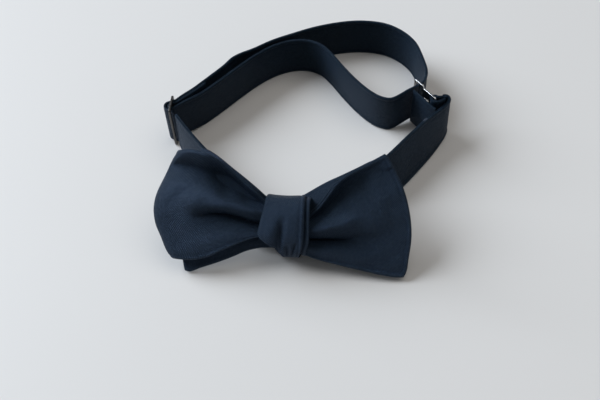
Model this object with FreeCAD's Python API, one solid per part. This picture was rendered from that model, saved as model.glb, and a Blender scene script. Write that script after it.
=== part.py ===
import FreeCAD, Part
import math
import os

# A hand-tied bow tie with an adjustable, hooked neckband, standing on the
# lower edges of its band and the two lower corners of its bow. Millimetres.
# +X runs along the bow, +Y from the bow to the back of the neck, +Z up.

# ---- driving dimensions ----
BAND_W = 22.0          # width of the neckband cloth
STRAP_T = 1.6          # strap: two folded cloths and a stiffener
RUN_T = 1.0            # adjusting run of the band, thinner
BOW_TILT = 45.0        # the bow leans back on its lower corners
BLADE_T = 1.5          # one blade of the bow, all layers
SHELL_T = 0.5          # cloth wall of a blade or strap
LINING_GAP = 0.12      # clearance round a stiffener inside its cloth
KNOT_W = 21.0          # width of the knot along the bow
KNOT_T = 1.5           # cloth of the outer turn
TURN_T = 1.0           # cloth of the turn under it
KNOT_V = (9.6, 34.6)   # foot and top of the knot, up the bow
KNOT_D = (-11.8, 9.2)  # back and front of the knot, through the bow
FRAME_H = 25.0         # slider, hook and eye: outer height
FRAME_WALL = 1.2       # metal above and below a slot
METAL_T = 0.8          # hook and eye sheet
SLIDER_T = 1.0         # slider sheet
CORNER = 1.2           # rounding of the metal plates' corners
SLIDER_HALF = 5.6      # half the slider's depth, along the band
SLOT_INNER = 0.85      # slider slots: from the middle bar's edge ...
SLOT_OUTER = 4.35      # ... to the outer bars
TONGUE_Z = (8.4, 18.0)     # hook's tongue, above the table
TONGUE_S = (5.3, 9.2)      # and along the plate
FINGER_S = 8.4         # the finger bent down from the tongue's end starts here
FINGER_O = -2.0        # and reaches this far inwards
SLIDER_AT = (-61.0, 79.5)      # middle bar of the slider, in plan
HOOK_AT = (58.8, 100.0)        # hook's band bar, in plan
HOOK_DIR = (0.640, -0.768)     # from the band bar towards the strap
BAND_LIFT = 1.4        # band's lower edge inside slider and hook
SHIFT = (-5.505, -71.71, 0.0)   # puts the origin under the middle of it all

os.makedirs("parts", exist_ok=True)
V = FreeCAD.Vector
COS = math.cos(math.radians(BOW_TILT))
SIN = math.sin(math.radians(BOW_TILT))


def save(shape, name):
    shape = shape.copy()
    shape.translate(V(*SHIFT))
    shape.exportStep("parts/" + name + ".step")
    box = shape.BoundBox
    print(name, shape.isValid(), len(shape.Solids), round(shape.Volume, 1),
          [round(c, 1) for c in (box.XMin, box.XMax, box.YMin, box.YMax, box.ZMin, box.ZMax)])


def in_bow(shape):
    """Lay a shape built in the bow's own u, v, w frame back on its tilt."""
    turned = shape.copy()
    turned.rotate(V(0, 0, 0), V(1, 0, 0), BOW_TILT)
    return turned


def smooth(points):
    curve = Part.BSplineCurve()
    curve.interpolate([V(*p) for p in points])
    return curve


def prism(edges, direction):
    return Part.Face(Part.Wire(edges)).extrude(direction)


def outline(u_v, low, high):
    """A panel's outline in the bow's plane, thickened from low to high."""
    points = [V(u, v, low) for u, v in u_v]
    return Part.Face(Part.makePolygon(points + points[:1])).extrude(V(0, 0, high - low))


def strip(path, thick, count, grow=0.0, trim=0.0, inward=1.0):
    """Cloth strip standing on edge. path rows: x, y, middle z, lean, width."""
    curve = smooth([(x, y, z) for x, y, z, lean, width in path])
    knots = [curve.parameter(V(x, y, z)) for x, y, z, lean, width in path]
    first, last = curve.FirstParameter, curve.LastParameter
    span = curve.length()
    first = curve.parameterAtDistance(trim, first) if trim else first
    last = curve.parameterAtDistance(span - trim, curve.FirstParameter) if trim else last
    corners = [[], [], [], []]
    for i in range(count):
        at = first + (last - first) * i / (count - 1.0)
        k = max(j for j in range(len(knots) - 1) if knots[j] <= at + 1e-9)
        f = min(1.0, (at - knots[k]) / (knots[k + 1] - knots[k]))
        f = f * f * (3 - 2 * f)
        lean = math.radians(path[k][3] + f * (path[k + 1][3] - path[k][3]))
        half_w = 0.5 * (path[k][4] + f * (path[k + 1][4] - path[k][4])) + grow
        half_t = 0.5 * thick + grow
        here = curve.value(at)
        run = curve.tangent(at)[0]
        side = V(-run.y, run.x, 0).normalize() * inward
        wide = V(0, 0, 1) * math.cos(lean) + side * math.sin(lean)
        deep = side * math.cos(lean) - V(0, 0, 1) * math.sin(lean)
        for row, (a, b) in zip(corners, ((-1, -1), (-1, 1), (1, 1), (1, -1))):
            row.append(here + wide * (a * half_w) + deep * (b * half_t))
    edges = [smooth(row).toShape() for row in corners]
    faces = [Part.makeRuledSurface(edges[i], edges[(i + 1) % 4]) for i in range(4)]
    for end in (0, -1):
        ring = [row[end] for row in corners]
        faces.append(Part.Face(Part.makePolygon(ring + ring[:1])))
    shell = Part.Shell(faces)
    shell.sewShape()
    solid = Part.makeSolid(Part.Shell(shell.Faces))
    return solid if solid.Volume > 0 else solid.reversed()


def lined_strip(path, count, inward):
    """Strap cloth as a closed sleeve, and the stiffener inside it."""
    whole = strip(path, STRAP_T, count, inward=inward)
    bore = strip(path, STRAP_T, count, grow=-SHELL_T, trim=1.0, inward=inward)
    core = strip(path, STRAP_T, count, grow=-SHELL_T - LINING_GAP, trim=1.3, inward=inward)
    return whole.cut(bore), core


# ---- the bow: outlines in its own plane, u along it and v up it ----

LEFT_LOOP = [(-11.3, 16.8), (-22.2, 12.5), (-29.1, 9.1), (-35.1, 6.1), (-40.4, 4.7), (-46.5, 4.5),
             (-49.7, 4.8), (-51.9, 6.3), (-56.1, 15.1), (-58.3, 20.2), (-59.3, 25.8), (-59.0, 30.2),
             (-57.8, 34.6), (-54.1, 42.4), (-50.7, 49.6), (-48.1, 52.9), (-44.0, 54.0), (-36.5, 53.2),
             (-34.8, 52.4), (-28.0, 48.8), (-16.3, 39.0), (-11.3, 33.6)]
LEFT_END = [(-11.3, 11.4), (-17.8, 9.6), (-23.8, 6.7), (-38.6, 1.2), (-43.8, 0.6), (-45.7, 1.4),
            (-50.5, 22.0), (-49.0, 38.0), (-44.0, 54.0), (-37.9, 54.5), (-31.4, 52.1), (-11.3, 36.0)]
RIGHT_END = [(11.3, 8.6), (23.1, 4.9), (42.6, 1.4), (51.8, 0.6), (53.6, 1.6), (54.9, 8.7), (55.8, 17.5),
             (55.4, 24.7), (53.9, 32.4), (49.4, 44.7), (45.8, 52.0), (43.4, 54.8), (41.0, 54.4),
             (26.6, 45.4), (21.6, 39.0), (18.3, 33.6), (15.1, 29.6), (11.3, 26.8)]
RIGHT_LOOP = [(11.3, 14.0), (24.0, 10.6), (38.0, 9.4), (47.0, 12.0), (50.5, 22.0), (50.0, 33.0),
              (46.0, 44.0), (41.0, 53.2), (37.3, 52.2), (24.7, 44.1), (11.3, 35.2)]


def ribbon(points, thick):
    """A cloth's edge view in u and w, given thickness and run up the bow."""
    curve = smooth([(u, 0, w) for u, w in points])
    left, right = [], []
    for i in range(25):
        at = curve.FirstParameter + (curve.LastParameter - curve.FirstParameter) * i / 24.0
        run = curve.tangent(at)[0]
        side = V(-run.z, 0, run.x) * (thick / 2.0)
        left.append(curve.value(at) + side)
        right.append(curve.value(at) - side)
    ends = [Part.makeLine(left[-1], right[-1]), Part.makeLine(right[0], left[0])]
    return prism([smooth(left).toShape(), ends[0], smooth(right).toShape(), ends[1]], V(0, 60, 0))


FRONT_LOOP_EDGE = [(-11.3, 6.2), (-18.0, 7.4), (-30.0, 8.8), (-44.0, 8.6), (-54.0, 7.0), (-57.8, 5.8),
                   (-58.5, 4.6), (-57.4, 3.4), (-50.0, 2.8), (-36.0, 2.6), (-22.0, 2.8), (-11.3, 3.4)]
RIGHT_LOOP_EDGE = [(11.3, -1.2), (22.0, -1.5), (36.0, -1.8), (47.0, -2.4), (49.4, -3.3), (48.8, -4.8),
                   (44.0, -6.6), (34.0, -7.4), (22.0, -6.6), (11.3, -4.4)]
RIGHT_END_EDGE = [(11.3, 4.0), (20.0, 4.6), (32.0, 4.2), (44.0, 2.6), (56.5, 1.4)]
LEFT_END_EDGE = [(-11.3, 1.0), (-24.0, 0.7), (-38.0, 0.8), (-51.0, 1.0)]


def blade(edge, panel, thick):
    return ribbon(edge, thick).common(outline(panel, -20, 20))


def inset(panel, by):
    wire = Part.makePolygon([V(u, v, 0) for u, v in panel + panel[:1]])
    ring = wire.makeOffset2D(-by, 2)
    ring.translate(V(0, 0, -20))
    return Part.Face(ring).extrude(V(0, 0, 40))


def lined_blade(edge, panel, folded):
    """Bow blade: a closed cloth envelope and the stiffener inside it."""
    whole = blade(edge, panel, BLADE_T)
    past_fold = [(u * 1.2, v) if folded and abs(u) > 48 else (u, v) for u, v in panel]
    bore = ribbon(edge, BLADE_T - 2 * SHELL_T).common(inset(past_fold, 1.2))
    core = ribbon(edge, BLADE_T - 2 * SHELL_T - 2 * LINING_GAP).common(inset(past_fold, 1.5))
    return whole.cut(bore), core


def rounded(v0, v1, w0, w1, radius, u0, u1):
    """Box across the bow with its four long edges rounded."""
    box = Part.makeBox(u1 - u0, v1 - v0, w1 - w0, V(u0, v0, w0))
    long_edges = [e for e in box.Edges if abs(e.tangentAt(e.FirstParameter).x) > 0.9]
    return box.makeFillet(radius, long_edges)


def knot_ring(v0, v1, w0, w1, radius, wall, u0, u1):
    outer = rounded(v0, v1, w0, w1, radius, u0, u1)
    inner = rounded(v0 + wall, v1 - wall, w0 + wall, w1 - wall, radius - wall, u0 - 1, u1 + 1)
    return outer.cut(inner)


def bow():
    shell, core = lined_blade(FRONT_LOOP_EDGE, LEFT_LOOP, True)
    save(in_bow(shell), "front_left_loop")
    save(in_bow(core), "front_left_loop_stiffener")
    shell, core = lined_blade(RIGHT_END_EDGE, RIGHT_END, False)
    save(in_bow(shell), "front_right_end")
    save(in_bow(core), "front_right_end_stiffener")
    shell, core = lined_blade(LEFT_END_EDGE, LEFT_END, False)
    save(in_bow(shell), "back_left_end")
    save(in_bow(core), "back_left_end_stiffener")
    shell, core = lined_blade(RIGHT_LOOP_EDGE, RIGHT_LOOP, True)
    save(in_bow(shell), "back_right_loop")
    save(in_bow(core), "back_right_loop_stiffener")


def knot():
    half = KNOT_W / 2.0
    wrap = knot_ring(KNOT_V[0], KNOT_V[1], KNOT_D[0], KNOT_D[1], 5.0, KNOT_T, -half, half - 0.8)
    save(in_bow(wrap), "knot_wrap")
    low = KNOT_T + 0.15
    v0, v1 = KNOT_V[0] + low, KNOT_V[1] - low
    turn = knot_ring(v0, v1, KNOT_D[0] + low, KNOT_D[1] - low, 3.3, TURN_T, -half + 2, half + 0.6)
    save(in_bow(turn), "knot_under_turn")
    waist = rounded(13.0, 31.2, -5.4, 6.2, 2.6, -half, half)
    save(in_bow(waist), "gathered_waist")


# ---- the neckband ----

LEFT_STRAP = [(-2.0, 20.2, 9.4, 45, 15), (-13.0, 20.8, 9.6, 44, 16), (-24.0, 28.4, 9.9, 36, 19),
              (-34.0, 40.4, 10.4, 24, 22), (-44.0, 53.2, 11.0, 14, 22), (-51.6, 63.4, 11.8, 8, 22),
              (-56.2, 70.2, 12.9, 3, 22), (-58.0, 73.2, 13.1, 1, 22)]
RIGHT_STRAP = [(2.0, 20.2, 9.4, 45, 15), (13.0, 20.8, 9.6, 44, 16), (24.0, 26.6, 9.9, 36, 19),
               (34.5, 36.0, 10.6, 28, 22), (47.3, 50.6, 10.9, 22, 22), (60.0, 67.6, 10.9, 20, 22),
               (69.0, 79.6, 11.0, 15, 22), (73.2, 84.8, 12.0, 8, 22), (74.6, 87.4, 12.9, 2, 22)]


def straps():
    shell, core = lined_strip(LEFT_STRAP, 26, -1.0)
    save(shell, "left_strap")
    save(core, "left_strap_stiffener")
    shell, core = lined_strip(RIGHT_STRAP, 26, 1.0)
    save(shell, "right_strap")
    save(core, "right_strap_stiffener")


def at_hook(s, o, z=0.0):
    """A place by the hook: s along its plate to the strap, o outwards."""
    x = HOOK_AT[0] + s * HOOK_DIR[0] - o * HOOK_DIR[1]
    y = HOOK_AT[1] + s * HOOK_DIR[1] + o * HOOK_DIR[0]
    return V(x, y, z)


def flat_run(points, count, thick=RUN_T):
    """Cloth standing upright: its edge view in plan, run up to the band's width."""
    curve = smooth([(x, y, BAND_LIFT) for x, y in points])
    left, right = [], []
    for i in range(count):
        at = curve.FirstParameter + (curve.LastParameter - curve.FirstParameter) * i / (count - 1.0)
        run = curve.tangent(at)[0]
        side = V(-run.y, run.x, 0) * (thick / 2.0)
        left.append(curve.value(at) + side)
        right.append(curve.value(at) - side)
    ends = [Part.makeLine(left[-1], right[-1]), Part.makeLine(right[0], left[0])]
    edges = [smooth(left).toShape(), ends[0], smooth(right).toShape(), ends[1]]
    return prism(edges, V(0, 0, BAND_W))


def outer_run():
    slot = at_hook(1.95, 0.15)
    points = [(-59.1, 75.4), (-60.4, 76.3), (-62.4, 77.0), (-63.8, 78.2),
              (-64.2, 79.5), (-63.8, 80.8), (-62.4, 81.9), (-61.0, 82.5),
              (-59.5, 83.3), (-58.0, 85.2), (-53.6, 91.0), (-45.4, 101.4),
              (-38.6, 110.2), (-35.4, 115.4), (-31.4, 119.0), (-25.0, 122.9),
              (-15.4, 129.8), (-5.4, 135.2), (7.8, 141.4), (23.5, 145.8),
              (33.8, 146.4), (44.0, 144.4), (52.8, 138.6), (58.8, 130.8),
              (62.2, 120.6), (64.0, 111.8), (64.0, 106.6), (63.2, 102.8),
              (61.9, 100.2), (slot.x, slot.y)]
    save(flat_run(points, 96), "band_outer_run")


def inner_run():
    slot = at_hook(1.95, -0.15)
    points = [(slot.x, slot.y), (58.0, 97.1), (55.0, 95.0), (51.0, 92.0),
              (46.2, 89.6), (41.4, 90.6), (36.6, 93.8), (29.6, 101.2),
              (22.2, 111.2), (15.6, 121.0), (10.2, 127.2), (3.2, 130.4),
              (-5.4, 130.0), (-14.6, 125.8), (-23.6, 118.2), (-31.4, 109.4),
              (-39.4, 99.6), (-47.4, 90.4), (-55.0, 82.9), (-58.2, 79.9),
              (-59.7, 78.5), (-60.9, 77.75), (-62.0, 78.1), (-62.45, 79.5),
              (-62.0, 80.85), (-61.0, 81.2), (-59.6, 81.6), (-58.0, 83.0),
              (-55.0, 86.7), (-51.0, 91.9), (-46.6, 97.3)]
    save(flat_run(points, 110), "band_inner_run")


def slider():
    x, y = SLIDER_AT
    low = V(x - SLIDER_T / 2, y - SLIDER_HALF, 0)
    plate = Part.makeBox(SLIDER_T, 2 * SLIDER_HALF, FRAME_H, low)
    corner = [e for e in plate.Edges if abs(e.tangentAt(e.FirstParameter).x) > 0.9]
    plate = plate.makeFillet(CORNER, corner)
    tall = FRAME_H - 2 * FRAME_WALL
    for low in (-SLOT_OUTER, SLOT_INNER):
        slot = V(x - 2, y + low, FRAME_WALL)
        plate = plate.cut(Part.makeBox(4, SLOT_OUTER - SLOT_INNER, tall, slot))
    save(plate, "slider_frame")


def hook_box(s0, s1, o0, o1, z0, z1):
    ring = [at_hook(s0, o0, z0), at_hook(s1, o0, z0), at_hook(s1, o1, z0), at_hook(s0, o1, z0)]
    return Part.Face(Part.makePolygon(ring + ring[:1])).extrude(V(0, 0, z1 - z0))


def rounded_plate(s0, s1, o0, o1, z0, z1, radius):
    plate = hook_box(s0, s1, o0, o1, z0, z1)
    across = V(-HOOK_DIR[1], HOOK_DIR[0], 0)
    corner = [e for e in plate.Edges if abs(e.tangentAt(e.FirstParameter).dot(across)) > 0.9]
    return plate.makeFillet(radius, corner)


def hook():
    half = METAL_T / 2.0
    top = FRAME_H - FRAME_WALL
    plate = rounded_plate(-1.3, 5.4, -half, half, 0, FRAME_H, CORNER)
    plate = plate.cut(hook_box(0.4, 3.9, -2, 2, FRAME_WALL, top))
    tongue = hook_box(*TONGUE_S, -half, half, *TONGUE_Z)
    finger = hook_box(FINGER_S, TONGUE_S[1], FINGER_O, -half + 0.01, *TONGUE_Z)
    save(plate.fuse([tongue, finger]).removeSplitter(), "hook_plate")


def eye():
    low = -METAL_T / 2.0 - 0.25 - METAL_T
    top = FRAME_H - FRAME_WALL
    plate = rounded_plate(6.2, 15.6, low, low + METAL_T, 0, FRAME_H, CORNER)
    plate = plate.cut(hook_box(7.9, 11.0, low - 1, low + 2, FRAME_WALL + 4.0, top - 4.0))
    plate = plate.cut(hook_box(11.9, 14.3, low - 1, low + 2, FRAME_WALL, top))
    save(plate, "eye_plate")


def strap_end():
    """The strap's end: folded round the eye's bar, with a guard inside."""
    fold = [(73.4, 89.2), (71.8, 89.5), (70.3, 89.3)]
    for s, o in ((14.6, 0.8), (13.6, 0.45), (13.1, -0.2), (12.95, -1.05), (13.2, -1.9),
                 (14.0, -2.5), (15.2, -2.8)):
        at = at_hook(s, o)
        fold.append((at.x, at.y))
    fold += [(67.8, 85.8), (69.6, 86.3), (71.2, 87.3), (72.4, 88.1)]
    save(flat_run(fold, 36, 0.8), "strap_end_fold")
    guard = []
    for s, o in ((3.0, -3.9), (7.0, -3.9), (11.0, -4.1), (14.0, -4.6), (17.0, -4.6)):
        at = at_hook(s, o)
        guard.append((at.x, at.y))
    save(flat_run(guard, 12, 0.9), "hook_guard")


bow()
knot()
straps()
outer_run()
inner_run()
slider()
hook()
eye()
strap_end()
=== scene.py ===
import math

import bmesh
import bpy
from mathutils import Matrix, Vector


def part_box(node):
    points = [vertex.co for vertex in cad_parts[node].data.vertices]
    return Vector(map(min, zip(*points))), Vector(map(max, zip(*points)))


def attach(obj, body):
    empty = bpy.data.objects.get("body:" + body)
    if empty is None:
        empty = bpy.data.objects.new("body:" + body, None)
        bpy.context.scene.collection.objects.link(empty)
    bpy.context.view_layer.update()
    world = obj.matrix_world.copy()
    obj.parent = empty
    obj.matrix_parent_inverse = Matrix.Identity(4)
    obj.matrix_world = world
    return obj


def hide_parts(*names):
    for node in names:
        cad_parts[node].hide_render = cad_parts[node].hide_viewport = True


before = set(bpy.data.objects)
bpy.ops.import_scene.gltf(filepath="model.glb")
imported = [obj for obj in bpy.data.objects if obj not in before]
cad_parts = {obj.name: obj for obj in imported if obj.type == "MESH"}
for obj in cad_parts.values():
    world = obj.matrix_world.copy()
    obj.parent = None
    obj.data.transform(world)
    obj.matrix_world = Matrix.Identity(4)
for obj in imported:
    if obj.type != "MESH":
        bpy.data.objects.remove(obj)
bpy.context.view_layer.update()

MM = 0.001
CLOTH_BODY = "bow_and_band"
BAND_WIDTH = 22.0      # neckband cloth, in millimetres as all lengths below
STRAP_SPREAD = 0.42    # each panel of a strap or blade sits this far off its middle
RUN_SPREAD = 0.36      # the same for the thinner adjusting run
FOOT_LIFT = 1.4        # band held off the table inside slider and hook
BOW_LEAN = math.sqrt(0.5)   # the bow leans back 45 degrees
EYE_U = 28.75          # the eye that the bow's outlines are drawn from: along the bow,
EYE_V = 81.95          # up it,
EYE_W = 366.0          # and out from its face
SLIDER_SPOT = (-61.0, 79.5)      # slider's middle bar, on the table
STRAP_END_SPOT = (68.0, 89.0)    # where the eye holds the strap's end
GUARD_SPOT = (64.0, 92.0)        # where the hook lies on its guard

waist_low, waist_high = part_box("gathered_waist")
knot_low, knot_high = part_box("knot_wrap")
KNOT_X = (waist_low[0] + waist_high[0]) / 2
FOOT_Y = (knot_low[1] + knot_high[1]) / 2 - 16.546 * MM


# ---- places ----

def on_table(x, y, z):
    """A place from the bow's foot: x along the bow, y to the neck's back."""
    return Vector((KNOT_X + x * MM, FOOT_Y + y * MM, z * MM))


def on_bow(u, v, w):
    """A place on the leaning bow: u along it, v up it, w out of its face."""
    return on_table(u, (v - w) * BOW_LEAN, (v + w) * BOW_LEAN)


def drawn(u, v, w):
    """As on_bow, for outlines drawn flat as the eye sees them."""
    return on_bow(u + (EYE_U - u) * w / EYE_W, v + (EYE_V - v) * w / EYE_W, w)


def smooth_line(points):
    """A smooth line through points; it is read by the share of its length."""
    rows = [Vector(p) for p in points]
    rows = [2 * rows[0] - rows[1]] + rows + [2 * rows[-1] - rows[-2]]
    fine = []
    for p0, p1, p2, p3 in zip(rows, rows[1:], rows[2:], rows[3:]):
        d0, d1, d2 = [(q - p).length ** 0.5 for p, q in ((p0, p1), (p1, p2), (p2, p3))]
        lead = ((p1 - p0) / d0 - (p2 - p0) / (d0 + d1) + (p2 - p1) / d1) * d1
        tail = ((p2 - p1) / d1 - (p3 - p1) / (d1 + d2) + (p3 - p2) / d2) * d1
        for k in range(14):
            t = k / 14
            fine.append(
                (2 * t ** 3 - 3 * t ** 2 + 1) * p1 + (t ** 3 - 2 * t ** 2 + t) * lead
                + (3 * t ** 2 - 2 * t ** 3) * p2 + (t ** 3 - t ** 2) * tail
            )
    fine.append(rows[-2])
    marks = [0.0]
    for p, q in zip(fine, fine[1:]):
        marks.append(marks[-1] + (q - p).length)

    def at(share):
        want = min(1.0, max(0.0, share)) * marks[-1]
        low, high = 0, len(marks) - 1
        while high - low > 1:
            half = (low + high) // 2
            low, high = (half, high) if marks[half] <= want else (low, half)
        return fine[low].lerp(fine[high], (want - marks[low]) / (marks[high] - marks[low]))

    at.length = marks[-1]
    at.fine = fine
    return at


def along(values, share):
    """Evenly spaced values, read smoothly at a share of the way."""
    spot = min(0.9999, max(0.0, share)) * (len(values) - 1)
    k = int(spot)
    f = spot - k
    f = f * f * (3 - 2 * f)
    return values[k] + (values[k + 1] - values[k]) * f


def ease(x, low=0.0, high=1.0):
    """0 below low, 1 above high, smooth between."""
    t = min(1.0, max(0.0, (x - low) / (high - low)))
    return t * t * (3 - 2 * t)


# ---- cloth ----

def crowded(share, amount):
    """Draws evenly spaced shares towards both ends."""
    return share - amount * math.sin(2 * math.pi * share) / (2 * math.pi)


def cloth_points(place, cells, crowd, crowd_along=0.0):
    """Places and normals at the corners of a sheet's cells."""
    na, nb = cells
    rows = []
    for i in range(na + 1):
        a = crowded(i / na, crowd_along)
        row = []
        for j in range(nb + 1):
            b = crowded(j / nb, crowd)
            row.append((a, b, place(a, b)))
        rows.append(row)
    found = {}
    for i in range(na + 1):
        for j in range(nb + 1):
            run = rows[min(na, i + 1)][j][2] - rows[max(0, i - 1)][j][2]
            rise = rows[i][min(nb, j + 1)][2] - rows[i][max(0, j - 1)][2]
            a, b, spot = rows[i][j]
            found[i, j] = (a, b, spot, run.cross(rise).normalized())
    return found


def seam_lift(from_rim, middle, rim, rolled):
    """Panels meet at the rim, roll out beside it, dip over the seam, then lie level."""
    share = rolled * middle / STRAP_SPREAD
    roll = 0.34 * math.exp(-((from_rim - 0.9) / 0.5) ** 2)
    dip = -0.26 * math.exp(-((from_rim - 2.0) / 0.6) ** 2)
    return rim + (middle - rim) * ease(from_rim, 0.0, 1.1) + share * (roll + dip)


def cloth_panel(bm, found, cells, size, middle, rim, rolled=0.0):
    """One layer of cloth: middle and rim are how far it sits off the surface."""
    length, width = size
    weave = bm.loops.layers.uv.verify()
    edge = bm.verts.layers.float.get("edge") or bm.verts.layers.float.new("edge")
    made = bmesh.ops.create_grid(bm, x_segments=cells[0], y_segments=cells[1], size=0.5)
    faces = {face for vert in made["verts"] for face in vert.link_faces}
    index = {
        vert: (round((vert.co.x + 0.5) * cells[0]), round((vert.co.y + 0.5) * cells[1]))
        for vert in made["verts"]
    }
    for face in faces:
        for corner in face.loops:
            a, b = found[index[corner.vert]][:2]
            corner[weave].uv = (a * length * MM, (b * width + 40 * (middle > 0)) * MM)
    for vert in made["verts"]:
        a, b, spot, normal = found[index[vert]]
        from_rim = min(a * length, (1 - a) * length, b * width, (1 - b) * width)
        strength = rolled(a, b) if callable(rolled) else rolled
        vert[edge] = from_rim
        vert.co = spot + normal * seam_lift(from_rim, middle, rim, strength) * MM


def finish_piece(name, bm, material, node=None, body=CLOTH_BODY):
    """Makes the object, in place, rides it on its body and stands it for its node."""
    mesh = bpy.data.meshes.new(name)
    bm.to_mesh(mesh)
    bm.free()
    for face in mesh.polygons:
        face.use_smooth = True
    mesh.materials.append(material)
    piece = bpy.data.objects.new(name, mesh)
    bpy.context.collection.objects.link(piece)
    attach(piece, body)
    if node:
        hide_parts(node)
    return piece


def lined_cloth(name, place, size, cells, material, node, spread, wall,
                crowd=0.7, crowd_along=0.0, rolled=0.4):
    """A strip or blade: two panels sewn round their edge and turned."""
    rim = wall * 0.5
    found = cloth_points(place, cells, crowd, crowd_along)
    bm = bmesh.new()
    cloth_panel(bm, found, cells, size, spread, rim, rolled)
    cloth_panel(bm, found, cells, size, -spread, -rim, rolled)
    piece = finish_piece(name, bm, material, node)
    thicken(piece, wall)
    return piece


def thicken(piece, wall, levels=1):
    """Gives sheets their thickness and rounds the cut edges."""
    solid = piece.modifiers.new("thickness", "SOLIDIFY")
    solid.thickness = wall * MM
    solid.offset = 0
    solid.use_even_offset = False
    round_off = piece.modifiers.new("soften", "SUBSURF")
    round_off.levels = levels
    round_off.render_levels = levels


def stiffener(name, place, size, cells, trim):
    """The thin sheet between two panels, cut short of their seams."""
    length, width = size

    def inside(a, b):
        first = trim / length
        last = 1 - trim / length
        return place(first + a * (last - first), (trim + b * (width - 2 * trim)) / width)

    flat = (length - 2 * trim, width - 2 * trim)
    found = cloth_points(inside, cells, 0.0)
    bm = bmesh.new()
    cloth_panel(bm, found, cells, flat, 0.0, 0.0)
    piece = finish_piece(name + "_sheet", bm, felt, name)
    thicken(piece, 0.2, 0)
    return piece


# ---- materials ----

def link(tree, source, target):
    tree.links.new(source, target)


def math_node(tree, operation, first, second=None, third=None):
    """A Math node whose inputs are numbers or sockets."""
    node = tree.nodes.new("ShaderNodeMath")
    node.operation = operation
    for socket, value in zip(node.inputs, (first, second, third)):
        if isinstance(value, (int, float)):
            socket.default_value = value
        elif value is not None:
            link(tree, value, socket)
    return node.outputs[0]


def new_group(name, inputs, outputs):
    """An empty shader node group with its sockets and its two end nodes."""
    group = bpy.data.node_groups.new(name, "ShaderNodeTree")
    for label, kind, value in inputs:
        socket = group.interface.new_socket(label, in_out="INPUT", socket_type=kind)
        if value is not None:
            socket.default_value = value
    for label, kind in outputs:
        group.interface.new_socket(label, in_out="OUTPUT", socket_type=kind)
    return group, group.nodes.new("NodeGroupInput"), group.nodes.new("NodeGroupOutput")


def twill_group():
    """Fine diagonal ribs, the threads that cross them, and uneven yarn."""
    group, start, end = new_group(
        "twill_weave",
        [("Cloth", "NodeSocketVector", None), ("Ribs per metre", "NodeSocketFloat", 2200.0)],
        [("Height", "NodeSocketFloat"), ("Tint", "NodeSocketFloat")],
    )
    split = group.nodes.new("ShaderNodeSeparateXYZ")
    link(group, start.outputs["Cloth"], split.inputs[0])
    ribs = start.outputs["Ribs per metre"]
    x, y = split.outputs[0], split.outputs[1]
    diagonal = math_node(group, "MULTIPLY", math_node(group, "MULTIPLY_ADD", y, 0.8, x), ribs)
    rib = math_node(group, "SINE", math_node(group, "MULTIPLY", diagonal, 2 * math.pi))
    crossing = math_node(group, "MULTIPLY", math_node(group, "SUBTRACT", x, y), ribs)
    thread = math_node(group, "SINE", math_node(group, "MULTIPLY", crossing, 4.1 * math.pi))
    slub = group.nodes.new("ShaderNodeTexNoise")
    slub.inputs["Scale"].default_value = 750.0
    slub.inputs["Detail"].default_value = 3.0
    link(group, start.outputs["Cloth"], slub.inputs["Vector"])
    patch = group.nodes.new("ShaderNodeTexNoise")
    patch.inputs["Scale"].default_value = 70.0
    patch.inputs["Detail"].default_value = 2.0
    link(group, start.outputs["Cloth"], patch.inputs["Vector"])
    woven = math_node(group, "MULTIPLY_ADD", rib, 0.30, 0.2)
    woven = math_node(group, "MULTIPLY_ADD", thread, 0.12, woven)
    woven = math_node(group, "MULTIPLY_ADD", slub.outputs["Fac"], 1.1, woven)
    link(group, woven, end.inputs["Height"])
    tint = math_node(group, "MULTIPLY_ADD", patch.outputs["Fac"], 0.6, -1.20)
    tint = math_node(group, "MULTIPLY_ADD", woven, 1.85, tint)
    link(group, tint, end.inputs["Tint"])
    return group


def painted_rim_light_group():
    """Masks by distance from the rim: a painted highlight along the rolled edge and painted shade over the
    seam dip beside it.
    """
    group, start, end = new_group(
        "painted_rim_light",
        [("Edge", "NodeSocketFloat", 0.0)],
        [("painted_roll_highlight", "NodeSocketFloat"), ("painted_seam_shade", "NodeSocketFloat")],
    )
    # The first mask paints a highlight on the rolled edge; the second paints shade in the seam dip.
    for label, middle, reach in (("painted_roll_highlight", 0.75, 0.8), ("painted_seam_shade", 1.9, 0.9)):
        off = math_node(group, "ABSOLUTE", math_node(group, "SUBTRACT", start.outputs["Edge"], middle))
        near = math_node(group, "SUBTRACT", 1.0, math_node(group, "DIVIDE", off, reach))
        link(group, math_node(group, "MAXIMUM", near, 0.0), end.inputs[label])
    return group


def wear_group():
    """Soft smudges and hairline marks of handling, as a mask."""
    group, start, end = new_group(
        "handling_marks",
        [("Place", "NodeSocketVector", None), ("Marks per metre", "NodeSocketFloat", 300.0)],
        [("Mask", "NodeSocketFloat")],
    )
    smudge = group.nodes.new("ShaderNodeTexNoise")
    smudge.inputs["Detail"].default_value = 4.0
    link(group, start.outputs["Place"], smudge.inputs["Vector"])
    link(group, start.outputs["Marks per metre"], smudge.inputs["Scale"])
    stretch = group.nodes.new("ShaderNodeMapping")
    stretch.inputs["Scale"].default_value = (1.0, 1.0, 14.0)
    link(group, start.outputs["Place"], stretch.inputs["Vector"])
    hair = group.nodes.new("ShaderNodeTexNoise")
    hair.inputs["Scale"].default_value = 260.0
    link(group, stretch.outputs[0], hair.inputs["Vector"])
    mask = math_node(group, "MULTIPLY_ADD", hair.outputs["Fac"], 0.6, -0.1)
    mask = math_node(group, "MULTIPLY_ADD", smudge.outputs["Fac"], 0.6, mask)
    link(group, mask, end.inputs["Mask"])
    return group


def mixed(tree, share, first, second):
    """A colour between two, by a mask."""
    node = tree.nodes.new("ShaderNodeMix")
    node.data_type = "RGBA"
    link(tree, share, node.inputs[0])
    node.inputs[6].default_value = (*first, 1)
    node.inputs[7].default_value = (*second, 1)
    return node.outputs[2]


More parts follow.
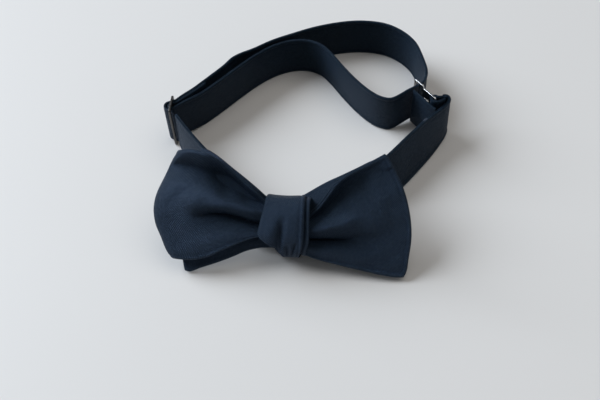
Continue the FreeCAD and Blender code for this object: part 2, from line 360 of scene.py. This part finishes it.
def ranged(tree, value, low, high):
    """A 0 to 1 mask spread between two values."""
    node = tree.nodes.new("ShaderNodeMapRange")
    link(tree, value, node.inputs["Value"])
    node.inputs["To Min"].default_value = low
    node.inputs["To Max"].default_value = high
    return node.outputs["Result"]


def new_material(name):
    material = bpy.data.materials.new(name)
    material.use_nodes = True
    return material, material.node_tree, material.node_tree.nodes["Principled BSDF"]


def bumped(tree, shader, height, distance, strength):
    bump = tree.nodes.new("ShaderNodeBump")
    bump.inputs["Strength"].default_value = strength
    bump.inputs["Distance"].default_value = distance
    link(tree, height, bump.inputs["Height"])
    link(tree, bump.outputs["Normal"], shader.inputs["Normal"])


def twill_cloth(name, dark, light, ribs, depth, shine):
    material, tree, shader = new_material(name)
    cloth = tree.nodes.new("ShaderNodeUVMap")
    weave = tree.nodes.new("ShaderNodeGroup")
    weave.node_tree = twill_weave
    weave.inputs["Ribs per metre"].default_value = ribs
    link(tree, cloth.outputs["UV"], weave.inputs["Cloth"])
    rim = tree.nodes.new("ShaderNodeAttribute")
    rim.attribute_name = "edge"
    seam = tree.nodes.new("ShaderNodeGroup")
    seam.node_tree = painted_rim_light
    link(tree, rim.outputs["Fac"], seam.inputs["Edge"])
    # Painted light in the base colour: the rolled rim is lightened as a painted highlight and the seam dip
    # beside it is darkened as painted shade, on top of the weave's own tint.
    tint = math_node(tree, "MULTIPLY_ADD", seam.outputs["painted_roll_highlight"], 0.10, weave.outputs["Tint"])
    tint = math_node(tree, "MULTIPLY_ADD", seam.outputs["painted_seam_shade"], -0.25, tint)
    link(tree, mixed(tree, tint, dark, light), shader.inputs["Base Color"])
    link(tree, ranged(tree, tint, 0.60, 0.44), shader.inputs["Roughness"])
    shader.inputs["Specular IOR Level"].default_value = shine
    shader.inputs["Specular Tint"].default_value = (0.34, 0.56, 1.0, 1)
    shader.inputs["Sheen Weight"].default_value = 0.035
    shader.inputs["Sheen Roughness"].default_value = 0.45
    shader.inputs["Sheen Tint"].default_value = (0.16, 0.40, 1.0, 1)
    bumped(tree, shader, weave.outputs["Height"], depth * MM, 0.7)
    return material


def felt_cloth():
    material, tree, shader = new_material("stiffener_felt")
    place = tree.nodes.new("ShaderNodeUVMap")
    fibre = tree.nodes.new("ShaderNodeTexNoise")
    fibre.inputs["Scale"].default_value = 1400.0
    fibre.inputs["Detail"].default_value = 5.0
    link(tree, place.outputs["UV"], fibre.inputs["Vector"])
    shade = mixed(tree, fibre.outputs["Fac"], (0.02, 0.024, 0.035), (0.05, 0.056, 0.07))
    link(tree, shade, shader.inputs["Base Color"])
    shader.inputs["Roughness"].default_value = 0.95
    bumped(tree, shader, fibre.outputs["Fac"], 0.08 * MM, 0.6)
    return material


def metal_finish(name, dark, light, smooth, rough):
    material, tree, shader = new_material(name)
    place = tree.nodes.new("ShaderNodeTexCoord")
    marks = tree.nodes.new("ShaderNodeGroup")
    marks.node_tree = handling_marks
    link(tree, place.outputs["Object"], marks.inputs["Place"])
    link(tree, mixed(tree, marks.outputs["Mask"], dark, light), shader.inputs["Base Color"])
    link(tree, ranged(tree, marks.outputs["Mask"], smooth, rough), shader.inputs["Roughness"])
    shader.inputs["Metallic"].default_value = 1.0
    bumped(tree, shader, marks.outputs["Mask"], 0.03 * MM, 0.25)
    return material


def thread_finish():
    material, tree, shader = new_material("sewing_thread")
    place = tree.nodes.new("ShaderNodeTexCoord")
    twist = tree.nodes.new("ShaderNodeTexWave")
    twist.inputs["Scale"].default_value = 900.0
    twist.inputs["Distortion"].default_value = 1.5
    link(tree, place.outputs["Object"], twist.inputs["Vector"])
    shade = mixed(tree, twist.outputs["Fac"], (0.02, 0.03, 0.055), (0.05, 0.07, 0.11))
    link(tree, shade, shader.inputs["Base Color"])
    link(tree, ranged(tree, twist.outputs["Fac"], 0.45, 0.6), shader.inputs["Roughness"])
    bumped(tree, shader, twist.outputs["Fac"], 0.05 * MM, 0.5)
    return material


twill_weave = twill_group()
painted_rim_light = painted_rim_light_group()
handling_marks = wear_group()
bow_twill = twill_cloth("bow_twill_cloth", dark=(0.0004, 0.0008, 0.0009), light=(0.0104, 0.0148, 0.0150),
                        ribs=1500.0, depth=0.42, shine=0.62)
band_twill = twill_cloth("band_twill_cloth", dark=(0.0004, 0.0010, 0.0012), light=(0.0086, 0.0172, 0.0220),
                         ribs=1500.0, depth=0.38, shine=0.34)
felt = felt_cloth()
gunmetal = metal_finish("slider_gunmetal", (0.055, 0.053, 0.050), (0.16, 0.155, 0.15), 0.2, 0.4)
chrome = metal_finish("hook_chrome_plate", (0.62, 0.63, 0.65), (0.82, 0.83, 0.85), 0.08, 0.25)
thread = thread_finish()


# ---- the bow's blades ----

def patch(low, high, near, far):
    """A blade's flat outline, filled between its four edges."""
    low, high, near, far = [smooth_line(edge) for edge in (low, high, near, far)]
    ll, lh, hl, hh = low(0), high(0), low(1), high(1)

    def at(a, b):
        across = low(a) * (1 - b) + high(a) * b
        lengthways = near(b) * (1 - a) + far(b) * a
        corners = (ll * (1 - b) + lh * b) * (1 - a) + (hl * (1 - b) + hh * b) * a
        return across + lengthways - corners

    return at


def folds(*rows):
    """Fold lines on a blade: points, heights, reach below and reach above."""
    return [(smooth_line(points).fine, heights, below, above)
            for points, heights, below, above in rows]


def relief(lines, u, v):
    """How far the folds push the cloth out at a point of a blade."""
    here = Vector((u, v))
    total = 0.0
    for fine, heights, below, above in lines:
        best = None
        for k in range(0, len(fine) - 1):
            start, run = fine[k], fine[k + 1] - fine[k]
            f = min(1.0, max(0.0, (here - start).dot(run) / run.length_squared))
            off = here - start - run * f
            far = off.length_squared
            if best is None or far < best[0]:
                way = 1 if run.x > 0 else -1
                best = (far, (k + f) / (len(fine) - 1), off.y * abs(run.x) - off.x * run.y * way)
        far, share, side = best
        reach = along(above if side > 0 else below, share)
        total += along(heights, share) * math.exp(-far / reach ** 2)
    return total


def unevenness(u, v, size=0.12):
    """The slight waviness of pressed cloth."""
    return size * (math.sin(u * 0.61 + v * 0.23) + math.sin(v * 0.55 - u * 0.31 + 1.7)) * 0.6


def folded_place(flat, front, back, turn, turn_share=0.08):
    """A blade folded back on itself: front layer, turned edge, back layer."""
    start = 0.5 - turn_share

    def at(c, b):
        reach = turn(b)
        if c <= start:
            u, v = flat(c / start * (1 - reach), b)
            return drawn(u, v, front(u, v, b))
        if c >= 1 - start:
            u, v = flat((1 - c) / start * (1 - reach), b)
            return drawn(u, v, back(u, v, b))
        angle = (c - start) / (2 * turn_share) * math.pi
        u0, v0 = flat(1 - reach, b)
        high, low = front(u0, v0, b), back(u0, v0, b)
        u, v = flat(1 - reach + reach * math.sin(angle), b)
        return drawn(u, v, (high + low) / 2 + (high - low) / 2 * math.cos(angle))

    return at


def front_left_loop():
    flat = patch(
        low=[(-7.5, 18.2), (-11.9, 16.5), (-15.8, 15.3), (-22.2, 12.5), (-29.1, 9.1), (-35.1, 6.1),
             (-40.4, 4.7), (-46.5, 4.5), (-50.2, 5.0)],
        high=[(-6.5, 30.5), (-9.7, 32.8), (-16.3, 39.0), (-22.8, 44.3), (-28.0, 48.6), (-34.8, 52.4),
              (-39.5, 54.0), (-44.0, 54.6), (-48.3, 53.8)],
        near=[(-7.5, 18.2), (-7.2, 24.0), (-6.5, 30.5)],
        far=[(-50.2, 5.0), (-52.2, 6.8), (-53.7, 9.2), (-56.1, 15.1), (-58.3, 20.2), (-59.3, 25.8),
             (-59.0, 30.2), (-57.8, 34.6), (-54.1, 42.4), (-50.9, 49.4), (-48.3, 53.8)],
    )
    lines = folds(
        ([(-8, 26.6), (-18, 28.8), (-28, 30.6), (-40, 31.0), (-52, 30.0)],
         (1.6, 2.8, 3.0, 1.8, 0.4), (2.2, 3.2, 4.5, 7.0, 8.0), (2.2, 3.4, 5.0, 7.0, 8.0)),
        ([(-8, 22.4), (-13.3, 22.8), (-20.3, 24.9), (-26.8, 26.6), (-33.2, 26.8), (-38.9, 25.8),
          (-44.2, 23.2)],
         (-2.6, -3.6, -3.4, -2.4, 0.0), (2.4, 3.2, 4.5, 6.0, 6.0), (0.8, 0.8, 0.9, 1.4, 3.0)),
        ([(-8, 22.1), (-13.3, 22.5), (-20.3, 24.6), (-26.8, 26.3), (-33.2, 26.5), (-38.9, 25.5),
          (-43, 23.6)],
         (-1.2, -2.2, -2.4, -2.0, -1.0, 0.0), (0.8, 0.9, 1.0, 1.1, 1.6), (0.5, 0.5, 0.5, 0.6, 0.8)),
        ([(-8, 29.8), (-16.2, 34.0), (-22.7, 39.2), (-31.3, 43.6), (-39.9, 45.6), (-47.0, 45.0)],
         (-2.4, -4.6, -5.8, -5.4, -2.2), (1.8, 3.0, 4.8, 6.5, 8.0), (1.6, 2.4, 3.4, 4.4, 5.0)),
        ([(-9, 18.6), (-20, 18.2), (-34, 14.5), (-46, 12.0)],
         (0.8, 1.0, 0.8, 0.3), (2.0, 3.5, 5.0, 6.0), (2.0, 3.5, 5.0, 6.0)),
    )

    def front(u, v, b):
        bow_out = 5.3 + 0.8 * ease(-u, 10, 34) - 0.6 * ease(-u, 40, 58)
        bow_out += 3.6 * ease(-u, 26, 39) * ease(b, 0.45, 0.8)
        rolled = 1.5 * math.exp(-((1 - b) * 9) ** 2) * ease(-u, 10, 20)
        return bow_out + relief(lines, u, v) + rolled + unevenness(u, v)

    def back(u, v, b):
        return 2.6 - 4.6 * ease(-u, 28, 54) * ease(b, 0.3, 0.9)

    place = folded_place(flat, front, back, lambda b: 0.08 + 0.18 * ease(b, 0.4, 0.8), 0.13)
    size = (96.0, 42.0)
    lined_cloth("left_loop_cloth", place, size, (84, 58), bow_twill, "front_left_loop",
                STRAP_SPREAD, 0.5, crowd=0.35)
    stiffener("front_left_loop_stiffener", place, size, (64, 20), 1.6)


def front_right_end():
    flat = patch(
        low=[(7.0, 9.8), (11.5, 7.8), (15.8, 6.6), (23.1, 4.9), (32.9, 2.9), (42.6, 1.0), (48.9, 0.2),
             (53.0, 0.3)],
        high=[(7.0, 24.0), (11.4, 28.2), (14.6, 31.6), (17.6, 35.8), (20.6, 40.4), (23.4, 43.6),
              (26.8, 46.2), (31.4, 48.7), (37.3, 52.0), (42.6, 55.2)],
        near=[(7.0, 9.8), (7.2, 16.0), (7.0, 24.0)],
        far=[(53.0, 0.3), (54.2, 3.0), (54.9, 8.7), (55.8, 17.5), (55.4, 24.7), (53.9, 32.4),
             (52.0, 38.6), (49.4, 44.7), (46.4, 50.0), (44.6, 53.2), (42.6, 55.2)],
    )
    lines = folds(
        ([(8, 20.0), (18, 21.6), (26, 23.2), (36, 24.6), (48, 25.0)],
         (2.6, 4.8, 4.2, 1.8, 0.0), (2.2, 3.2, 4.4, 7.0, 8.0), (1.8, 2.8, 4.0, 6.0, 8.0)),
        ([(8, 16.3), (14, 16.6), (22.7, 16.9), (30, 17.8), (37, 18.3), (45, 17.6)],
         (-2.2, -2.6, -1.9, -0.8, 0.0), (2.2, 2.8, 4.0, 5.0, 6.0), (0.7, 0.7, 0.9, 1.4, 2.0)),
        ([(8, 16.0), (14, 16.3), (22.7, 16.6), (30, 17.4)],
         (-1.2, -2.0, -1.6, 0.0), (0.9, 0.9, 1.1, 1.6), (0.5, 0.5, 0.5, 0.8)),
        ([(9, 24.0), (15, 28.2), (20.5, 34.4), (25.4, 39.6), (31.5, 43.2), (40, 47.0)],
         (-2.4, -4.0, -4.6, -3.4, -1.2), (2.0, 3.0, 4.8, 6.5, 7.5), (1.5, 1.8, 2.4, 3.2, 4.0)),
        ([(9, 12.0), (20, 10.8), (34, 9.0), (48, 8.0)],
         (1.0, 1.1, 0.7, 0.2), (2.0, 3.0, 4.0, 5.0), (2.0, 3.2, 4.5, 6.0)),
    )

    def front(u, v, b):
        bow_out = 4.0 - 0.9 * ease(u, 14, 40) - 0.8 * ease(u, 40, 57)
        rolled = 1.1 * math.exp(-((1 - b) * 9) ** 2) * (1 - 0.6 * ease(u, 26, 40))
        return bow_out + relief(lines, u, v) + rolled + unevenness(u, v)

    def place(a, b):
        u, v = flat(a, b)
        return drawn(u, v, front(u, v, b))

    size = (48.0, 44.0)
    lined_cloth("right_end_cloth", place, size, (64, 58), bow_twill, "front_right_end",
                STRAP_SPREAD, 0.5, crowd=0.35, crowd_along=0.5,
                rolled=lambda a, b: 0.4 + 1.4 * ease(b, 0.6, 0.8) * (1 - ease(a, 0.6, 0.95)))
    stiffener("front_right_end_stiffener", place, size, (34, 20), 1.6)


def back_left_end():
    flat = patch(
        low=[(-4.0, 11.8), (-11.4, 11.4), (-17.8, 9.6), (-23.8, 6.7), (-30.7, 3.8), (-38.6, 0.9),
             (-43.4, -1.0), (-45.6, -0.4)],
        high=[(-4.0, 31.0), (-8.5, 34.1), (-12.8, 37.8), (-18.4, 42.3), (-24.9, 47.2), (-31.4, 52.1),
              (-35.7, 54.6), (-38.3, 55.2)],
        near=[(-4.0, 11.8), (-4.0, 20.0), (-4.0, 31.0)],
        far=[(-45.6, -0.4), (-46.4, 3.6), (-49.0, 22.0), (-47.0, 38.0), (-42.0, 50.0), (-38.3, 55.2)],
    )

    def place(a, b):
        u, v = flat(a, b)
        w = 0.2 + 0.3 * math.sin(u * 0.2) + 1.7 * ease(-u, 30, 45) * (1 - ease(b, 0.0, 0.4))
        w -= 3.4 * ease(-u, 26, 48) * ease(b, 0.3, 0.9)
        gather = 0.6 * math.sin(b * 15) * (1 - ease(-u, 8, 26))
        return drawn(u, v, w + gather + 1.0 * ease(b, 0.86, 1.0) + unevenness(u, v))

    size = (44.0, 46.0)
    lined_cloth("back_left_end_cloth", place, size, (40, 40), bow_twill, "back_left_end",
                STRAP_SPREAD, 0.5)
    stiffener("back_left_end_stiffener", place, size, (28, 20), 1.6)


def back_right_loop():
    flat = patch(
        low=[(6.0, 14.0), (11.3, 13.0), (24.0, 10.6), (38.0, 9.4), (47.0, 12.0)],
        high=[(6.0, 34.6), (10.4, 37.4), (17.2, 41.6), (24.7, 45.4), (31.2, 48.8), (36.8, 51.8),
              (41.0, 53.0)],
        near=[(6.0, 14.0), (6.0, 23.0), (6.0, 34.6)],
        far=[(47.0, 12.0), (50.0, 20.0), (50.4, 32.0), (47.0, 44.0), (41.0, 53.0)],
    )

    def front(u, v, b):
        facet = -0.34 * max(0.0, 21.0 - u) - 0.42 * max(0.0, v - 33.0)
        return -1.1 + facet * (1 - ease(u, 22, 36)) - 1.6 * ease(u, 40, 50)

    def back(u, v, b):
        belly = -6.2 - 2.4 * math.sin(math.pi * ease(u, 6, 50)) * math.sin(math.pi * b)
        gather = 0.7 * math.sin(b * 17 + 1) * (1 - ease(u, 8, 24))
        return belly + gather + 1.8 * ease(u, 38, 50) + unevenness(u, v, 0.2)

    place = folded_place(flat, front, back, lambda b: 0.11)
    size = (84.0, 36.0)
    lined_cloth("right_loop_cloth", place, size, (84, 36), bow_twill, "back_right_loop",
                STRAP_SPREAD, 0.5)
    stiffener("back_right_loop_stiffener", place, size, (56, 18), 1.6)


# ---- the knot ----

KNOT_RING = [(22, -10.6, -8.0, 8.0), (29, -10.2, -8.0, 8.0), (33.2, -7.4, -8.2, 8.0), (34.9, -2, -8.4, 8.2),
             (34.8, 4.2, -8.6, 8.4), (32.8, 7.6, -8.9, 8.4), (29, 9.1, -9.6, 8.4), (24, 9.5, -10.8, 8.4),
             (19, 9.3, -11.6, 8.3), (17.2, 9.1, -10.6, 8.2), (15, 8.6, -7.0, 8.0), (13, 8.0, -4.8, 7.7),
             (11.4, 7.1, -3.6, 7.2), (9.2, 4.8, -1.2, 6.3),
             (8.3, 0.6, -0.6, 6.4), (8.9, -5.0, -4.0, 7.2), (11.6, -9.4, -6.6, 7.8), (17, -11.4, -8.0, 8.0),
             (23, -12.2, -8.0, 8.0), (28, -12.0, -8.0, 8.0)]


def knot_wrap():
    ring = smooth_line([(v, w, left, right) for v, w, left, right in KNOT_RING])
    middle = (21.0, 0.0)

    def outward(v, w, push):
        away = Vector((v - middle[0], w - middle[1]))
        away.normalize()
        return v + away.x * push, w + away.y * push

    def place(a, b):
        v, w, left, right = ring(a)
        u = left + (right - left) * b
        on_front = ease(w, 3.0, 7.0)
        pleat = -2.4 * math.exp(-((u + 2.6 - 0.12 * (v - 14)) / 1.5) ** 2) * (1 - ease(v, 18, 29))
        pleat += 0.5 * math.exp(-((u + 7.0) / 2.4) ** 2) * (1 - ease(v, 18, 27))
        pleat -= 1.5 * math.exp(-((u - 1.2) / 0.9) ** 2) * (1 - ease(v, 11, 16))
        slit = -1.3 * math.exp(-((u - 3.4 - 0.28 * (v - 9.8)) / 0.7) ** 2) * (1 - ease(v, 12.5, 17))
        crown = 0.7 * math.sin(math.pi * b) * ease(v, 12, 20)
        waist = -0.5 * math.exp(-((v - 35) / 3) ** 2) * math.sin(math.pi * b)
        v, w = outward(v, w, (pleat + slit + crown) * on_front + waist)
        return on_bow(u, v, w)

    lined_cloth("knot_cloth", place, (ring.length * 0.92, 18.0), (110, 34), bow_twill, "knot_wrap",
                0.4, 0.5, rolled=lambda a, b: 0.1 + 0.5 * ease(b, 0.4, 0.6))

    def under_place(a, b):
        v, w, left, _ = ring(0.04 + 0.86 * a)
        edge = 9.3 + 1.4 * ease(v, 9, 17)
        u = -7.0 + (edge + 7.0) * b
        u = max(left + 1.0, u) if b < 0.5 else u
        lip = 0.75 * math.exp(-((u - edge + 0.7) / 0.9) ** 2)
        v, w = outward(v, w, -1.45 + lip)
        return on_bow(u, v, w)

    lined_cloth("knot_under_cloth", under_place, (ring.length * 0.8, 17.0), (90, 24), bow_twill,
                "knot_under_turn", 0.27, 0.4)


def gathered_waist():
    """The pleated middle of both blades, squeezed by the knot."""
    bm = bmesh.new()
    bmesh.ops.create_cone(bm, cap_ends=True, segments=64, radius1=1.0, radius2=1.0, depth=1.0)
    bmesh.ops.subdivide_edges(
        bm, edges=[e for e in bm.edges if abs(e.verts[0].co.z - e.verts[1].co.z) > 0.5],
        cuts=16, use_grid_fill=True)
    for vert in bm.verts:
        x, y, z = vert.co
        angle = math.atan2(y, x)
        squeeze = 1.0 + 0.07 * math.cos(angle * 9 + z * 1.5) - 0.06 * math.cos(math.pi * z)
        up = 22.0 + 8.4 * math.cos(angle) * squeeze
        out = 0.3 + 5.4 * math.sin(angle) * squeeze
        vert.co = on_bow(z * 19.0, up, out)
    bmesh.ops.recalc_face_normals(bm, faces=bm.faces)
    bmesh.ops.bevel(bm, geom=[e for e in bm.edges if e.calc_face_angle(0) > 1.0], offset=1.0 * MM,
                    segments=3, affect="EDGES", profile=0.5, material=-1)
    weave = bm.loops.layers.uv.verify()
    for face in bm.faces:
        for corner in face.loops:
            corner[weave].uv = (corner.vert.co.x, corner.vert.co.z + corner.vert.co.y)
    piece = finish_piece("gathered_middle", bm, bow_twill, "gathered_waist")


# ---- the neckband ----

LEFT_STRAP = [(-2.0, 20.2, 9.4, 45, 15), (-13.0, 20.8, 9.6, 44, 16), (-24.0, 28.4, 9.9, 36, 19),
              (-34.0, 40.4, 10.4, 24, 22), (-44.0, 53.2, 11.0, 14, 22), (-51.6, 63.4, 11.8, 8, 22),
              (-56.2, 70.2, 12.9, 3, 22), (-58.0, 73.2, 13.1, 1, 22)]
RIGHT_STRAP = [(2.0, 20.2, 9.4, 45, 15), (13.0, 20.8, 9.6, 44, 16), (24.0, 26.6, 9.9, 36, 19),
               (34.5, 36.0, 10.6, 28, 22), (47.3, 50.6, 10.85, 22, 22), (60.0, 67.6, 10.85, 20, 22),
               (69.0, 79.6, 11.0, 15, 22), (73.2, 84.8, 12.0, 8, 22), (74.6, 87.4, 12.9, 2, 22)]
HOOK_SPOT = (58.8, 100.0)
HOOK_RUN = (0.640, -0.768)


def at_hook(s, o):
    """A place by the hook, in plan: s along its plate to the strap, o outwards."""
    return (HOOK_SPOT[0] + s * HOOK_RUN[0] - o * HOOK_RUN[1],
            HOOK_SPOT[1] + s * HOOK_RUN[1] + o * HOOK_RUN[0])


OUTER_RUN = [(-59.1, 75.4), (-60.4, 76.3), (-62.5, 76.9), (-64.0, 78.0), (-64.35, 79.5), (-64.0, 81.0),
             (-62.5, 82.05), (-61.0, 82.5), (-59.5, 83.3), (-58.0, 85.2), (-53.6, 91.0), (-45.4, 101.4),
             (-38.6, 110.2), (-35.4, 115.4), (-31.4, 119.0), (-25.0, 122.9), (-15.4, 129.8),
             (-5.4, 135.2), (7.8, 141.4), (23.5, 145.8), (33.8, 146.4), (44.0, 144.4), (52.8, 138.6),
             (58.8, 130.8), (62.2, 120.6), (64.0, 111.8), (64.0, 106.6), (63.2, 102.8), (61.9, 100.2),
             at_hook(1.95, 0.15)]
INNER_RUN = [at_hook(1.95, -0.15), (58.0, 97.1), (55.0, 95.0), (51.0, 92.0), (46.2, 89.6), (41.4, 90.6),
             (36.6, 93.8), (29.6, 101.2), (22.2, 111.2), (15.6, 121.0), (10.2, 127.2), (3.2, 130.4),
             (-5.4, 130.0), (-14.6, 125.8), (-23.6, 118.2), (-31.4, 109.4), (-39.4, 99.6),
             (-47.4, 90.4), (-55.0, 82.9), (-58.2, 79.9), (-59.7, 78.5), (-60.9, 77.7), (-62.1, 78.0),
             (-62.6, 79.5), (-62.1, 81.0), (-61.0, 81.25), (-59.6, 81.6), (-58.0, 83.0), (-55.0, 86.7),
             (-51.0, 91.9), (-46.6, 97.3)]
STRAP_FOLD = [(73.4, 89.2), (71.8, 89.5), (70.3, 89.3), at_hook(14.6, 0.8), at_hook(13.6, 0.45),
              at_hook(13.1, -0.2), at_hook(12.95, -1.05), at_hook(13.2, -1.9), at_hook(14.0, -2.5),
              at_hook(15.2, -2.8), (67.8, 85.8), (69.6, 86.3), (71.2, 87.3), (72.4, 88.1)]
STRAP_TURN = [(74.7, 88.7, 13.2, 0, 22), (74.1, 89.9, 13.6, 0, 22), (72.7, 90.4, 13.8, 0, 22),
              (71.2, 90.1, 13.9, 0, 22)]
GUARD = [at_hook(3.0, -4.5), at_hook(7.0, -4.6), at_hook(11.0, -4.7), at_hook(14.0, -4.9),
         at_hook(17.0, -4.7), at_hook(19.3, -4.2)]


def leaning_place(rows, inward):
    """A strap on edge that leans over: rows are x, y, middle height, lean and width."""
    line = smooth_line([(x, y, z) for x, y, z, lean, width in rows])
    shape = smooth_line([(x, y, lean, width) for x, y, z, lean, width in rows])

    def at(a, b):
        here = line(a)
        run = line(min(1.0, a + 0.01)) - line(max(0.0, a - 0.01))
        _, _, lean, width = shape(a)
        lean = math.radians(lean)
        side = Vector((-run.y, run.x, 0)).normalized() * inward
        wide = Vector((0, 0, 1)) * math.cos(lean) + side * math.sin(lean)
        spot = here + wide * (b - 0.5) * width
        return on_table(*spot)

    at.length = line.length
    return at


def straps():
    for name, rows, inward in (
        ("left_strap", LEFT_STRAP, -1.0),
        ("right_strap", RIGHT_STRAP + STRAP_TURN, 1.0),
    ):
        place = leaning_place(rows, inward)
        size = (place.length, 20.6)
        lined_cloth(name + "_cloth", place, size, (96, 22), band_twill, name,
                    STRAP_SPREAD, 0.56, rolled=0.9)
        stiffener(name + "_stiffener", place, size, (60, 8), 1.6)


def standing_place(points, held_near, reach=18.0, lift=FOOT_LIFT):
    """Band on edge: lifted where metal holds it, sagging to the table between."""
    line = smooth_line(points)

    def at(a, b):
        here = line(a)
        near = min((here - Vector(spot)).length for spot in held_near)
        foot = lift - (lift - 0.15) * ease(near, 5.0, reach)
        return on_table(here.x, here.y, foot + b * BAND_WIDTH)

    at.length = line.length
    return at


def flat_near(place, spots):
    """Rolled edges, pressed flat where the band runs through metal."""
    held = [on_table(x, y, 0) for x, y in spots]

    def rolled(a, b):
        near = min((place(a, 0.5) - spot).xy.length for spot in held) / MM
        return 0.9 * ease(near, 5.0, 9.0)

    return rolled


def runs():
    metal = [SLIDER_SPOT, HOOK_SPOT]
    for name, points, cells in (("band_outer_run", OUTER_RUN, 170), ("band_inner_run", INNER_RUN, 170)):
        place = standing_place(points, metal)
        size = (place.length, BAND_WIDTH)
        lined_cloth(name + "_cloth", place, size, (cells, 22), band_twill, name, RUN_SPREAD,
                    0.46, rolled=flat_near(place, metal))
    place = standing_place(STRAP_FOLD, [STRAP_END_SPOT], lift=2.9)
    lined_cloth("strap_end_cloth", place, (place.length, BAND_WIDTH), (60, 18), band_twill,
                "strap_end_fold", 0.3, 0.42, rolled=0.9)
    place = standing_place(GUARD, [GUARD_SPOT])
    lined_cloth("hook_guard_cloth", place, (place.length, BAND_WIDTH), (24, 18), band_twill, "hook_guard",
                0.3, 0.42, rolled=0.0)


# ---- stitches ----

def tack(name, places, length=1.3, thick=0.3):
    """Short stitches of sewing thread, each laid from one place towards the next."""
    bm = bmesh.new()
    for start, end in places:
        run = end - start
        turn = run.to_track_quat("X", "Z").to_matrix().to_4x4()
        size = Matrix.Diagonal((length / 2 * MM, thick / 2 * MM, thick / 2 * MM, 1))
        where = Matrix.Translation(start + run / 2)
        bmesh.ops.create_icosphere(bm, subdivisions=2, radius=1.0, matrix=where @ turn @ size)
    finish_piece(name, bm, thread)


def face_row(place, share, side, spread, count=11):
    """Stitch ends down a strap's face, in a row across its width."""
    rows = []
    for k in range(count):
        b = 0.08 + 0.84 * k / (count - 1)
        spots = []
        for db in (-0.02, 0.02):
            run = place(share + 0.01, b) - place(share - 0.01, b)
            rise = place(share, b + 0.02) - place(share, b - 0.02)
            out = run.cross(rise).normalized() * side * (spread + 0.22) * MM
            spots.append(place(share, b + db) + out)
        rows.append(tuple(spots))
    return rows


def place_side(place, share):
    """The level direction through a strap, at its top edge."""
    run = place(share + 0.01, 1.0) - place(share - 0.01, 1.0)
    return Vector((-run.y, run.x, 0)).normalized()


def all_stitches():
    left = leaning_place(LEFT_STRAP, -1.0)
    right = leaning_place(RIGHT_STRAP + STRAP_TURN, 1.0)
    tail = standing_place(INNER_RUN, [SLIDER_SPOT, HOOK_SPOT])
    for name, place, share, spread in (
        ("left_strap_stitches", left, 0.955, STRAP_SPREAD),
        ("right_strap_stitches", right, 0.87, STRAP_SPREAD),
        ("tail_stitches", tail, 0.985, RUN_SPREAD),
    ):
        tack(name, face_row(place, share, 1, spread) + face_row(place, share, -1, spread))
    spots = []
    for k in range(4):
        share = 0.79 + 0.006 * k
        across = place_side(right, share)
        top = right(share, 1.0) + Vector((0, 0, 0.15 * MM))
        spots.append((top - across * 0.7 * MM, top + across * 0.7 * MM))
    tack("strap_edge_tack", spots, 1.5, 0.34)


# ---- metal ----

def plated(node, name, material, body, edge):
    """A metal plate with its stamped edges softened."""
    bm = bmesh.new()
    bm.from_mesh(bpy.data.objects[node].data)
    bmesh.ops.remove_doubles(bm, verts=bm.verts, dist=0.01 * MM)
    bmesh.ops.dissolve_limit(bm, angle_limit=0.02, verts=bm.verts, edges=bm.edges, delimit={"NORMAL"})
    sharp = [e for e in bm.edges if e.calc_face_angle(0) > 0.6]
    bmesh.ops.bevel(bm, geom=sharp, offset=edge * MM, segments=3, affect="EDGES", profile=0.5, material=-1,
                    clamp_overlap=True)
    piece = finish_piece(name, bm, material, node, body)
    piece.data.set_sharp_from_angle(angle=0.7)
    return piece


def metal_parts():
    plated("slider_frame", "slider_plate", gunmetal, "slider", 0.22)
    plated("hook_plate", "hook_metal", chrome, "hook", 0.18)
    plated("eye_plate", "eye_metal", chrome, "eye", 0.18)


# ---- floor, light and camera ----

def pale_floor():
    material, _, shader = new_material("pale_table")
    shader.inputs["Base Color"].default_value = (0.67, 0.65, 0.63, 1)
    shader.inputs["Roughness"].default_value = 0.55
    bm = bmesh.new()
    bmesh.ops.create_grid(bm, x_segments=1, y_segments=1, size=2.5)
    mesh = bpy.data.meshes.new("table_top")
    bm.to_mesh(mesh)
    bm.free()
    mesh.materials.append(material)
    floor = bpy.data.objects.new("table_top", mesh)
    bpy.context.collection.objects.link(floor)


def lamp(name, place, aim, size, power, colour):
    light = bpy.data.lights.new(name, "AREA")
    light.shape = "DISK"
    light.size = size
    light.energy = power
    light.color = colour
    holder = bpy.data.objects.new(name, light)
    bpy.context.collection.objects.link(holder)
    holder.location = place
    holder.rotation_euler = (Vector(aim) - Vector(place)).to_track_quat("-Z", "Y").to_euler()


def studio_light():
    world = bpy.data.worlds.new("soft_room")
    bpy.context.scene.world = world
    world.use_nodes = True
    sky = world.node_tree.nodes["Background"]
    sky.inputs["Color"].default_value = (0.90, 0.95, 1.0, 1)
    sky.inputs["Strength"].default_value = 0.21
    lamp("window", (-2.1, 0.8, 1.6), (0, 0, 0), 2.2, 112.0, (0.83, 0.91, 1.0))
    lamp("room", (0.5, 0.2, 1.5), (0, 0, 0), 1.6, 6.5, (1.0, 0.95, 0.88))
    bpy.context.scene.view_settings.view_transform = "Standard"


def camera():
    lens = bpy.data.cameras.new("camera")
    lens.lens = 50
    lens.sensor_width = 36
    holder = bpy.data.objects.new("camera", lens)
    bpy.context.collection.objects.link(holder)
    right = Vector((0.99748, 0.06526, -0.02773))
    up = Vector((-0.03487, 0.79201, 0.60951))
    turn = Matrix((right, up, right.cross(up))).transposed()
    holder.matrix_world = Matrix.Translation((0.023249, -0.27261, 0.31678)) @ turn.to_4x4()
    bpy.context.scene.camera = holder


camera()
studio_light()
pale_floor()
front_left_loop()
front_right_end()
back_left_end()
back_right_loop()
knot_wrap()
gathered_waist()
straps()
runs()
all_stitches()
metal_parts()
